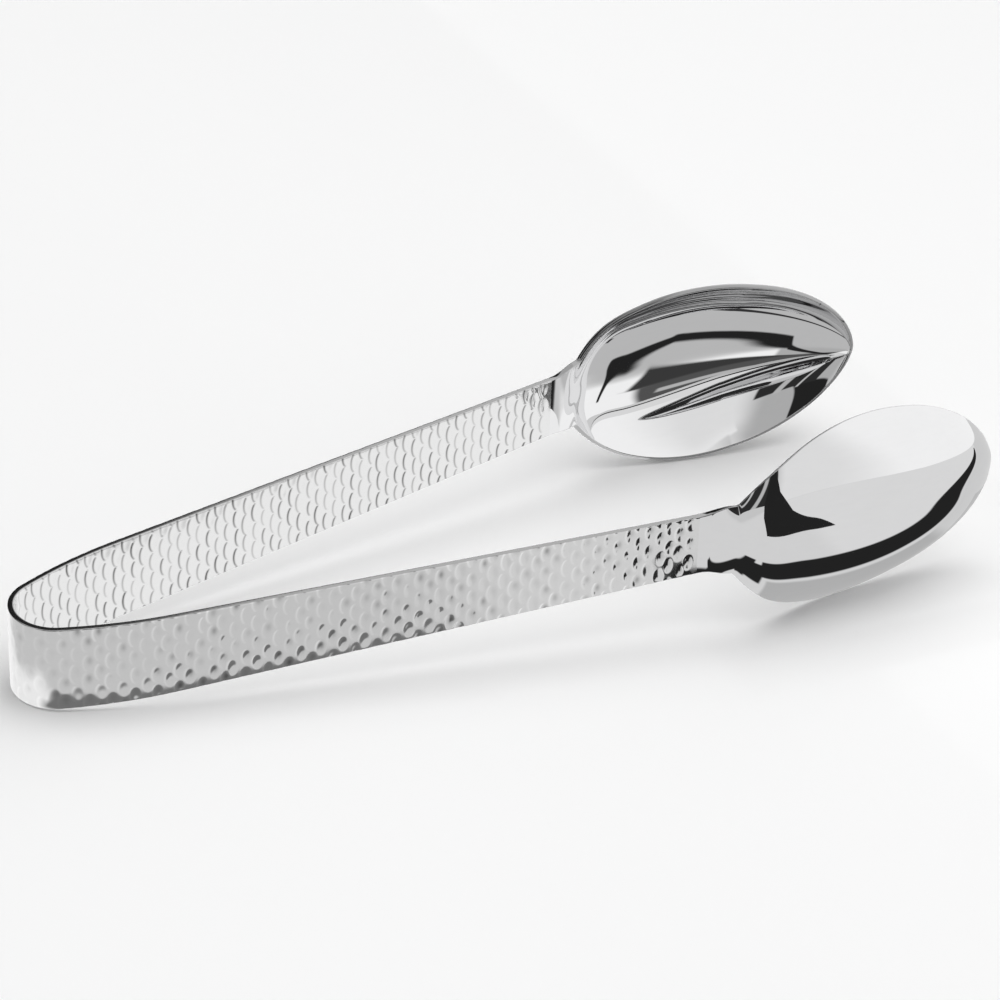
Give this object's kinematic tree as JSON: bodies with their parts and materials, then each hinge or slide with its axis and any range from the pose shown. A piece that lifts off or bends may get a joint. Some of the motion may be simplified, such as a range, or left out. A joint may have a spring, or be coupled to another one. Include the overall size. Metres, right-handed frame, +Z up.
{
  "type": "serving tongs",
  "caption": "Serving tongs: one springy steel strip bent into a U, with hammered tapering arms, smooth necks and deep polished spoon bowls that face each other.",
  "frame": {"origin": "on the table under the middle of the tongs, which lie on the lower edge of the bend and the lower rims of the two bowls", "axes": "+X from the bend towards the spoons, +Y across the opening to the left arm, +Z up from the table"},
  "size_m": [0.2632, 0.0934, 0.0536],
  "materials": {
    "hammered_steel": "bright stainless steel, hammered with rows of shallow round dimples",
    "polished_steel": "mirror-polished stainless steel"
  },
  "bodies": {
    "bow": {"spring_bow": "hammered_steel"},
    "left_side": {"left_arm": "hammered_steel", "left_spoon": "polished_steel"},
    "right_side": {"right_arm": "hammered_steel", "right_spoon": "polished_steel"}
  },
  "joints": [
    {"name": "left_close", "type": "hinge", "parent": "bow", "child": "left_side", "pos_m": [-0.09546, 0.01635, 0.01439], "axis": [0.0832, 0, -0.9965], "range_deg": [0, 7.75], "stiffness_Nm_per_rad": 7.6},
    {"name": "right_close", "type": "hinge", "parent": "bow", "child": "right_side", "pos_m": [-0.09546, -0.01635, 0.01439], "axis": [-0.0832, 0, 0.9965], "range_deg": [0, 7.75], "stiffness_Nm_per_rad": 7.6}
  ],
  "couplings": [
    {"joint": "right_close", "follows": "left_close", "ratio": 1}
  ]
}
